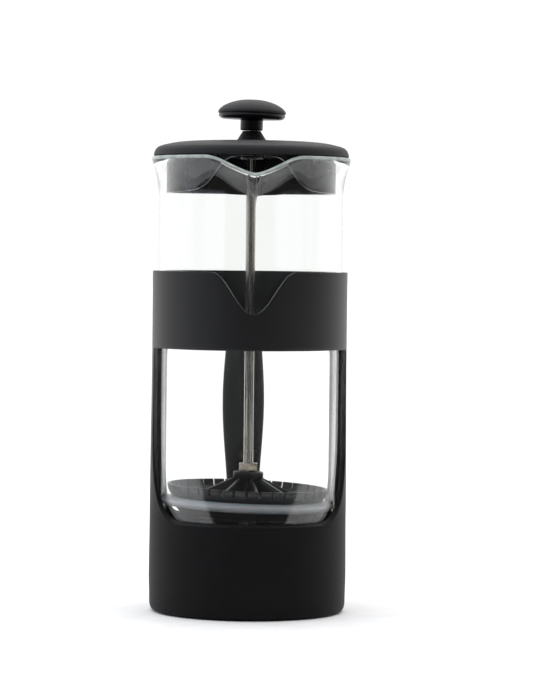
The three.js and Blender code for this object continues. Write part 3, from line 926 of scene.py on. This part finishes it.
class FRENCHPRESS_OT_handle(bpy.types.Operator):
    """Build the hollow handle and the cover that closes its back"""

    bl_idname = "french_press.handle"
    bl_label = "Handle"

    def execute(self, context):
        size = in_millimetres(context.scene.french_press_handle)
        holder = in_millimetres(context.scene.french_press_holder)
        half_width, half = size.width / 2, size.thickness / 2
        radius_at = holder_outer_radius(holder)
        heights = [0.9] + [5.5 + 171.2 * i / 40 for i in range(41)]
        envelope = [[0, heights[0]]] + [[radius_at(z) + 0.05, z] for z in heights] + [[0, heights[-1]]]
        whole = rounded_rectangle(-half_width, half_width, -half, half, 5.2, steps=8)
        grip = cut(swept_along_handle("handle_grip", size, whole), turned("envelope", envelope, 240))
        slot = rounded_rectangle(-8.5, 8.5, half - 9.5, half + 1, 1, steps=3)
        grip = cut(grip, swept_along_handle("slot", size, slot, 0.17, 0.85))
        cover = rounded_rectangle(-8.3, 8.3, half - 2.4, half, 0.8, steps=4)
        cover_mesh = swept_along_handle("handle_back_cover", size, cover, 0.174, 0.846)
        for name, mesh in (("handle_grip", bevelled(grip, 0.3, 2, 40)), ("handle_back_cover", cover_mesh)):
            finish_piece(f"{name}_detail", mesh, MATERIALS["handle"], "holder", "holder_plastic", name)
        return {"FINISHED"}


# ---- Beaker -------------------------------------------------------------------------------------


def pull_spout(size, point, inside):
    """Moves a point of the beaker's mouth out and down, less so inside, so the spout's fold is thick."""
    softness, lead = (0.12, 0.02) if inside else (0.03, 0.03)
    spout_from, root_half_width = 209, 7
    climb = min(1.0, (point.z - spout_from) / (size.rim - spout_from))
    if climb <= 0 or point.y > 0:
        return point
    radius = math.hypot(point.x, point.y)
    turn = math.atan2(point.x, -point.y)
    half_width = root_half_width + (size.spout_width - root_half_width) * climb
    across = abs(turn * size.outer) / half_width
    crease = math.sqrt(across**2 + softness**2) - lead
    pull = (1 - crease) if crease < 0.7 else 0.3 * max(0.0, (1.3 - crease) / 0.6) ** 2
    pull *= climb**1.5
    return Vector(on_cylinder(radius + size.spout_reach * pull, turn, point.z - size.spout_drop * pull))


def beaker_profile(size):
    """The glass's outline from the middle of its bottom, round the rim, to the middle of its floor."""
    base, floor, corner = 31, 34, 12
    inner = size.outer - size.wall
    outside = [[0, base + 0.6], [20, base + 0.4], [30, base]]
    outside += quarter([size.outer - corner, base], [size.outer, base + corner], [size.outer, base], steps=12)
    outside += [[size.outer, z] for z in range(46, 209, 6)]
    flare_out = [
        [size.outer, 209], [size.outer, 214], [size.outer, 218], [size.outer + 0.8, 224],
        [size.outer + 2, 229], [size.lip - 0.4, 233], [size.lip, 234.8],
    ]
    flare_in = [
        [size.lip - 2, size.rim - 0.1], [inner + 2.6, 233], [inner + 1.4, 229], [inner + 0.5, 224],
        [inner, 218], [inner, 214], [inner, 209],
    ]
    top = size.rim
    rim = [[size.lip, 234.8], [size.lip - 0.3, 235.7], [size.lip - 1.1, top], [size.lip - 2, top - 0.1]]
    inside = [[inner, z] for z in range(208, 45, -6)]
    inside += quarter([inner, base + corner], [size.outer - corner, floor], [inner, floor], steps=12)
    inside += [[20, floor + 0.3], [0, floor + 0.5]]
    return outside + through(flare_out, 4) + through(rim, 4)[1:-1] + through(flare_in, 4) + inside


class FRENCHPRESS_OT_beaker(bpy.types.Operator):
    """Build the glass beaker with its flared mouth and pouring spout"""

    bl_idname = "french_press.beaker"
    bl_label = "Glass Beaker"

    def execute(self, context):
        size = in_millimetres(context.scene.french_press_beaker)
        segments = 288
        profile = beaker_profile(size)
        lip = [i for i, (_, height) in enumerate(profile) if height > size.rim - 1.8]
        mesh = turned("glass_beaker", profile, segments)
        first_inside = 2 + segments * (lip[len(lip) // 2] - 1)
        for vertex in mesh.vertices:
            vertex.co = pull_spout(size, vertex.co / MM, vertex.index > first_inside) * MM
        beaker = finish_piece(
            "glass_beaker_detail", mesh, MATERIALS["glass"], "beaker", "glass", "glass_beaker"
        )
        # The lip's faces take the pale glass, a painted highlight along the rim.
        beaker.data.materials.append(MATERIALS["lip"])
        for face in beaker.data.polygons:
            face.material_index = int(lip[0] <= face.index // segments < lip[-1])
        return {"FINISHED"}


# ---- Lid ----------------------------------------------------------------------------------------


def lid_cover_mesh(size):
    """The domed cover with its round boss."""
    low, wall, hole, plate = 236.3, 2.3, 4.3, 239.2
    top, outer = size.top, size.outer
    boss_top = 249.6
    boss = [[4.5, boss_top], [4.75, boss_top - 0.1]]
    slope = [[4.9, boss_top - 0.4], [5.3, 248.5], [5.95, 247.5], [6.55, 246.5], [7.25, 245.4]]
    boss += through(slope + [[8.4, top + 0.15], [10, top]], 4)
    crown = through([[14, top], [22, top - 0.05], [32, top - 0.3], [40, top - 1.1], [46, top - 2.4]], 5)
    shoulder = through([[46, top - 2.4], [48.6, 240.8], [49.8, 239.5]], 4)
    side = through([[49.8, 239.5], [50.25, 238.5], [outer, low + 0.3]], 4)
    inside = [
        [outer - 0.4, low], [outer - wall, low], [48.2, plate], [46.2, 239.9], [40, 240.9],
        [30, top - wall], [9, top - wall], [9, plate], [hole, plate], [hole, boss_top],
    ]
    return turned("lid_cover", boss + crown + shoulder[1:] + side[1:] + inside, 240)


def skirt_low(size, turn):
    """The height of the collar's lower edge at an angle, with the bell-shaped arch at the front."""
    around = abs((turn + math.pi) % (2 * math.pi) - math.pi)
    steep = (around / size.arch_angle) ** 6
    return size.skirt_low + 18.3 / (1 + steep) if around < math.radians(75) else size.skirt_low


def lid_skirt_mesh(size):
    """The collar that hangs inside the glass, with its flange and inner ring."""
    plate_low, plate_high, wall, flange, hole = 237.4, 239.2, 1.8, 47.9, 4.3
    columns, rows = 288, 14
    outer, inner = [], []
    for column in range(columns):
        turn = 2 * math.pi * column / columns
        low = skirt_low(size, turn)
        for row in range(rows + 1):
            z = low + (plate_low + 0.3 - low) * row / rows
            outer.append(on_cylinder(size.skirt, turn, z))
            inner.append(on_cylinder(size.skirt - wall, turn, z))
    quads = []
    for column in range(columns):
        after = (column + 1) % columns
        for row in range(rows):
            here, there = column * (rows + 1) + row, after * (rows + 1) + row
            quads.append([here, there, there + 1, here + 1])
    collar = bevelled(walled("collar", outer, inner, quads), 0.3, 2)
    plate = [
        [hole, plate_low], [20, plate_low], [20, plate_low - 1.2], [21.4, plate_low - 1.2],
        [21.4, plate_low], [flange, plate_low], [flange, plate_high], [hole, plate_high],
    ]
    return joined("lid_skirt", collar, bevelled(turned("plate", plate), 0.25, 2))


class FRENCHPRESS_OT_lid(bpy.types.Operator):
    """Build the lid's cover, its collar and the bush that guides the rod"""

    bl_idname = "french_press.lid"
    bl_label = "Lid"

    def execute(self, context):
        size = in_millimetres(context.scene.french_press_lid)
        cover = bevelled(lid_cover_mesh(size), 0.25, 2, 50)
        finish_piece("lid_cover_detail", cover, MATERIALS["lid"], "lid", "lid_plastic", "lid_cover")
        finish_piece(
            "lid_skirt_detail", lid_skirt_mesh(size), MATERIALS["inner"], "lid", "inner_plastic", "lid_skirt"
        )
        bush = [[2.6, 235], [6, 235], [6.8, 235.8], [6.8, 237.4], [4.2, 237.4], [4.2, 248.8], [2.6, 248.8]]
        mesh = bevelled(turned("lid_bush", bush, 64), 0.2, 2)
        finish_piece("lid_bush_detail", mesh, MATERIALS["inner"], "lid_centre", "inner_plastic", "lid_bush")
        return {"FINISHED"}


# ---- Knob, rod and nuts -------------------------------------------------------------------------


def knob_cap_mesh(size):
    """The knob's domed top shell."""
    radius, top, seam = size.knob, size.knob_top, 258.5
    dome = through(
        [
            [0, top], [5.5, top - 0.3], [10.5, top - 1.5], [14, top - 3], [16, top - 4.4],
            [17.3, top - 5.8], [radius, top - 6.8], [radius - 0.25, seam + 0.1],
        ]
    )
    inside = [[radius - 0.6, seam], [15.2, seam], [14.8, 260.2], [12.5, 261.8], [9, 263], [0, 263.8]]
    return turned("knob_cap", dome + inside, 160)


def knob_stem_mesh(size):
    """The knob's lower lip and stem."""
    seam, low, stem, stem_low = 258.5, 255.6, 5.85, 249.85
    profile = [[3.1, stem_low]]
    profile += quarter([stem - 0.7, stem_low], [stem, stem_low + 0.7], [stem, stem_low], steps=4)
    profile += quarter([stem, low - 0.9], [stem + 0.9, low], [stem, low], steps=4)
    profile += through([[15.4, low + 0.1], [16.7, low + 0.8], [17.3, low + 1.8], [17.1, seam - 0.15]], 4)
    profile += [[16.2, seam - 0.1], [7, seam - 0.1], [7, 262], [3.85, 262], [3.85, 251.95], [3.1, 251.95]]
    return turned("knob_stem", profile, 160)


def hex_nut_mesh(name, corner, bore, low, high):
    """A hexagon nut with its corners chamfered by a cone, as a turned blank leaves them."""
    blank = turned(name, [[0, low], [corner, low], [corner, high], [0, high]], 6)
    bevel = 0.55
    cone = [
        [0, low - 0.01], [corner - bevel, low - 0.01], [corner + 0.4, low + bevel],
        [corner + 0.4, high - bevel], [corner - bevel, high + 0.01], [0, high + 0.01],
    ]
    nut = cut(blank, turned("cone", cone, 48), "INTERSECT")
    thread = [
        [0, low - 1], [bore + 1.6, low - 1], [bore, low + 0.6], [bore, high - 0.6], [bore + 1.6, high + 1],
        [0, high + 1],
    ]
    return bevelled(cut(nut, turned("thread", thread, 48)), 0.12, 2, 40)


class FRENCHPRESS_OT_plunger(bpy.types.Operator):
    """Build the knob, the rod and its nuts"""

    bl_idname = "french_press.plunger"
    bl_label = "Knob, Rod and Nuts"

    def execute(self, context):
        size = in_millimetres(context.scene.french_press_plunger)
        pivot = 255.6
        cap = leaned(knob_cap_mesh(size), size.knob_lean, pivot)
        stem = leaned(knob_stem_mesh(size), size.knob_lean, pivot)
        insert = turned("knob_insert", [[2.8, 252], [3.8, 252], [3.8, 261.5], [2.8, 261.5]], 48)
        insert = leaned(bevelled(insert, 0.15, 2), size.knob_lean, pivot)
        rod = [[0, 45.2], [size.rod - 0.5, 45.2], [size.rod, 45.7]]
        rod += [[size.rod, 46 + 6 * i] for i in range(36)]
        rod += [[size.rod, 260.5], [size.rod - 0.5, 261], [0, 261]]
        table = [
            ("knob_cap", cap, "lid", "lid_plastic"),
            ("knob_stem", stem, "inner", "inner_plastic"),
            ("knob_insert", insert, "brass", "brass"),
            ("plunger_rod", turned("plunger_rod", rod, 64), "rod", "stainless"),
            ("rod_lock_nut", hex_nut_mesh("rod_lock_nut", size.nut, 2.56, 73, 77.1), "nut", "stainless"),
            ("rod_end_nut", hex_nut_mesh("rod_end_nut", size.nut, 2.56, 45, 49.1), "nut", "stainless"),
        ]
        for name, mesh, material, slot in table:
            finish_piece(f"{name}_detail", mesh, MATERIALS[material], "plunger", slot, name)
        return {"FINISHED"}


# ---- Filter stack -------------------------------------------------------------------------------

FILTER_PIVOT = 70


def rim_tooth(size):
    """One tooth of the basket's rim, a bent plate that flares outwards, facing -Y."""
    half_turn = math.pi / size.teeth - size.slot / 2 / size.rim
    section = [
        [40.95, 61.6], [41.6, 63.3], [41.9, 65], [41.7, 65.3],
        [40.6, 65.3], [40.4, 65], [40.1, 63.5], [39.3, 61.6],
    ]
    section = [[radius + size.rim - 41.9, z] for radius, z in section]
    turns = [half_turn * share for share in (-1, -0.5, 0, 0.5, 1)]
    tooth = lofted("rim_tooth", [[on_cylinder(radius, turn, z) for radius, z in section] for turn in turns])
    return bevelled(tooth, 0.15, 1, 35)


def basket_rib():
    """One sloping rib of the hub, along +X."""
    outline = [
        (5, 59.2), (32.5, 59.2), (32.5, 60.3), (25.9, 60.3), (25.6, 61.2), (25, 61.4), (7.4, 69.7), (5, 69.7),
    ]
    half = 0.9
    rib = lofted("basket_rib", [[(x, y, z) for x, z in outline] for y in (-half, half)])
    return bevelled(rib, 0.35, 2)


def filter_basket_mesh(size):
    """The dish, its hub, its ribs and the teeth of its rim."""
    dish = [
        [31, 59], [38.6, 59], [39.4, 59.5], [40.4, 60.6], [41, 61.7], [41.05, 61.9], [39.45, 61.9],
        [38.9, 61.2], [37.9, 60.6], [36.5, 60.4], [33, 60.4], [32.4, 61], [31.2, 61.1], [31, 60.7],
    ]
    hub = [
        [3.3, 59], [6.9, 59], [6.7, 61], [6.5, 68.6], [6.7, 69.1], [7.7, 69.3], [7.9, 69.6], [7.9, 72.2],
        [7.4, 72.7], [4.4, 72.7], [4.1, 72.1], [3.3, 72.1],
    ]
    material = MATERIALS["basket"]
    shift = size.rim - 41.9
    dish = [[radius + shift, z] for radius, z in dish]
    ribs = ring_of(basket_rib(), size.ribs, 2 * math.pi * 0.245 / size.ribs, material)
    teeth = ring_of(rim_tooth(size), size.teeth, 2 * math.pi * 0.22 / size.teeth, material)
    return joined(
        "filter_basket", bevelled(turned("dish", dish, 192), 0.15, 2), turned("hub", hub, 64), ribs, teeth
    )


def seal_profile():
    """The seal's section: a wedge with a rounded lip that touches the glass."""
    lip = through(
        [
            [39.4, 58.9], [42.4, 58.5], [44.2, 57.8], [44.85, 57], [44.8, 56.2], [43.8, 55],
            [41.6, 54.25], [39.5, 54.1], [38.8, 54.7], [38.75, 55.2],
        ],
        5,
    )
    return [[34, 55.2], [34, 58.4], [38.5, 58.4], [38.5, 58.9]] + lip


def lower_plate_mesh(material):
    """The perforated dish that clamps the wire cloth and the seal."""
    low, high = 49.5, 55.1
    top = 58.3
    profile = [
        [3.7, low], [33.5, low], [34.6, low + 0.4], [35.4, low + 1.6], [37.9, high - 1.2], [38.5, high],
        [35.8, high], [33.6, low + 2.6], [32.6, low + 1.6], [7, low + 1.6], [6, top], [3.7, top],
    ]
    plate = turned("lower_plate", profile, 160)
    for ring, count in ((10.5, 8), (17, 14), (23.5, 20), (30, 26)):
        peg = turned("peg", [[0, low - 1], [1.35, low - 1], [1.35, low + 2.2], [0, low + 2.2]], 16)
        moved(peg, Matrix.Translation((ring * MM, 0, 0)))
        plate = cut(plate, ring_of(peg, count, 0, material))
    return bevelled(plate, 0.15, 2, 35)


class FRENCHPRESS_OT_filter(bpy.types.Operator):
    """Build the filter stack: basket, wire cloth, seal and lower plate"""

    bl_idname = "french_press.filter"
    bl_label = "Filter Stack"

    def execute(self, context):
        size = in_millimetres(context.scene.french_press_filter)
        cloth = grown(
            weave_tree(), "filter_mesh", radius=38.3 * MM, bore=4.3 * MM, pitch=size.mesh_pitch * MM,
            wire_radius=0.085 * MM, material=MATERIALS["cloth"],
        )
        moved(cloth, Matrix.Translation((0, 0, 58.7 * MM)))
        table = [
            ("filter_basket", filter_basket_mesh(size), "basket", "filter_plastic"),
            ("filter_mesh", cloth, "cloth", "mesh_steel"),
            ("silicone_seal", turned("silicone_seal", seal_profile(), 192), "silicone", "silicone"),
            ("lower_plate", lower_plate_mesh(MATERIALS["basket"]), "basket", "filter_plastic"),
        ]
        for name, mesh, material, slot in table:
            mesh = leaned(mesh, size.lean, FILTER_PIVOT)
            finish_piece(f"{name}_detail", mesh, MATERIALS[material], "plunger", slot, name)
        return {"FINISHED"}


class FRENCHPRESS_OT_screws(bpy.types.Operator):
    """Give the screws that hold the handle their steel"""

    bl_idname = "french_press.screws"
    bl_label = "Handle Screws"

    def execute(self, context):
        for name in ("handle_screw_upper", "handle_screw_lower"):
            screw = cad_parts[name]
            screw.data.materials.clear()
            screw.data.materials.append(MATERIALS["nut"])
        return {"FINISHED"}


# ---- Stage --------------------------------------------------------------------------------------


def area_light(name, place, target, size, power, tint="#ffffff"):
    """A rectangular softbox, sizes and places in metres."""
    lamp = bpy.data.lights.new(name, "AREA")
    lamp.shape = "RECTANGLE"
    lamp.size, lamp.size_y = size
    lamp.energy = power
    lamp.color = linear(tint)[:3]
    softbox = bpy.data.objects.new(name, lamp)
    bpy.context.scene.collection.objects.link(softbox)
    softbox.location = place
    softbox.rotation_euler = (Vector(target) - Vector(place)).to_track_quat("-Z", "Y").to_euler()
    return softbox


def studio_world():
    """A white room that is bright behind the press and dimmer on the camera's side."""
    world = bpy.data.worlds.new("studio")
    world.use_nodes = True
    tree = world.node_tree
    place = add_node(tree, "ShaderNodeTexCoord")
    split = add_node(tree, "ShaderNodeSeparateXYZ", {0: place.outputs["Generated"]})
    walls = remapped(tree, split.outputs["Y"], 0.1, 1.06, source=(-0.3, 0.45))
    ceiling = remapped(tree, split.outputs["Z"], 0, 1.1, source=(0.35, 0.8))
    background = tree.nodes["Background"]
    background.inputs["Color"].default_value = linear("#ffffff")
    tree.links.new(maths(tree, "ADD", walls, ceiling), background.inputs["Strength"])
    bpy.context.scene.world = world


def studio_floor():
    """A long sheet of white paper that starts a little in front of the press."""
    half, front, back = 1.6, -0.42, 12
    steps = 24
    vertices, faces = [], []
    for i in range(steps + 1):
        for j in range(steps + 1):
            vertices.append((half * (2 * i / steps - 1) / MM, (front + (back - front) * j / steps) / MM, 0))
    for i in range(steps):
        for j in range(steps):
            corner = i * (steps + 1) + j
            faces.append([corner, corner + 1, corner + steps + 2, corner + steps + 1])
    mesh = new_mesh("floor", vertices, faces)
    mesh.materials.append(MATERIALS["paper"])
    scene_object("floor", mesh)


def studio_camera():
    """A long lens a little above the press, turned slightly to its left."""
    distance, eye, lens, lean = 1.612, 0.193, 159.4, 0.62
    around = math.radians(-2.2)
    camera = bpy.data.objects.new("camera", bpy.data.cameras.new("camera"))
    bpy.context.scene.collection.objects.link(camera)
    camera.location = (distance * math.sin(around), -distance * math.cos(around), eye)
    aim = Vector((0.0133 * math.cos(around), 0.0133 * math.sin(around), 0.136))
    facing = (aim - camera.location).to_track_quat("-Z", "Y")
    camera.rotation_euler = (facing.to_matrix() @ Matrix.Rotation(math.radians(lean), 3, "Z")).to_euler()
    camera.data.lens = lens
    camera.data.clip_end = 50
    bpy.context.scene.camera = camera


class FRENCHPRESS_OT_stage(bpy.types.Operator):
    """Set up the floor, the softboxes, the white room and the camera"""

    bl_idname = "french_press.stage"
    bl_label = "Stage"

    def execute(self, context):
        context.scene.view_settings.view_transform = "Standard"
        studio_floor()
        studio_world()
        middle = (0, 0, 0.13)
        area_light("softbox_left", (-1.18, -0.55, 0.75), middle, (1.8, 1.3), 5.2, "#e4eaff")
        area_light("softbox_right", (0.97, -0.87, 0.75), middle, (0.9, 1.3), 1.1)
        studio_camera()
        return {"FINISHED"}


# ---- Add-on -------------------------------------------------------------------------------------

SIZE_GROUPS = {
    "french_press_holder": HolderSizes,
    "french_press_handle": HandleSizes,
    "french_press_beaker": BeakerSizes,
    "french_press_lid": LidSizes,
    "french_press_plunger": PlungerSizes,
    "french_press_filter": FilterSizes,
    "french_press_colours": Colours,
}

BUILDERS = [
    FRENCHPRESS_OT_stage,
    FRENCHPRESS_OT_holder,
    FRENCHPRESS_OT_base,
    FRENCHPRESS_OT_handle,
    FRENCHPRESS_OT_screws,
    FRENCHPRESS_OT_beaker,
    FRENCHPRESS_OT_lid,
    FRENCHPRESS_OT_plunger,
    FRENCHPRESS_OT_filter,
]


class FRENCHPRESS_PT_panel(bpy.types.Panel):
    """Lists the press's sizes and builders"""

    bl_idname = "FRENCHPRESS_PT_panel"
    bl_label = "French Press"
    bl_space_type = "VIEW_3D"
    bl_region_type = "UI"
    bl_category = "French Press"

    def draw(self, context):
        for key, group in SIZE_GROUPS.items():
            box = self.layout.box()
            box.label(text=key.replace("french_press_", "").title())
            for name in group.__annotations__:
                box.prop(getattr(context.scene, key), name)
        for builder in BUILDERS:
            self.layout.operator(builder.bl_idname)


def register():
    """Adds the classes and the scene's settings."""
    for cls in [*SIZE_GROUPS.values(), *BUILDERS, FRENCHPRESS_PT_panel]:
        bpy.utils.register_class(cls)
    for key, group in SIZE_GROUPS.items():
        setattr(bpy.types.Scene, key, PointerProperty(type=group))


def unregister():
    """Removes what register added."""
    for key in SIZE_GROUPS:
        delattr(bpy.types.Scene, key)
    for cls in reversed([*SIZE_GROUPS.values(), *BUILDERS, FRENCHPRESS_PT_panel]):
        bpy.utils.unregister_class(cls)


def main():
    """Builds the whole press."""
    register()
    make_materials(bpy.context.scene.french_press_colours)
    for builder in BUILDERS:
        group, name = builder.bl_idname.split(".")
        getattr(getattr(bpy.ops, group), name)()


if __name__ == "__main__":
    main()
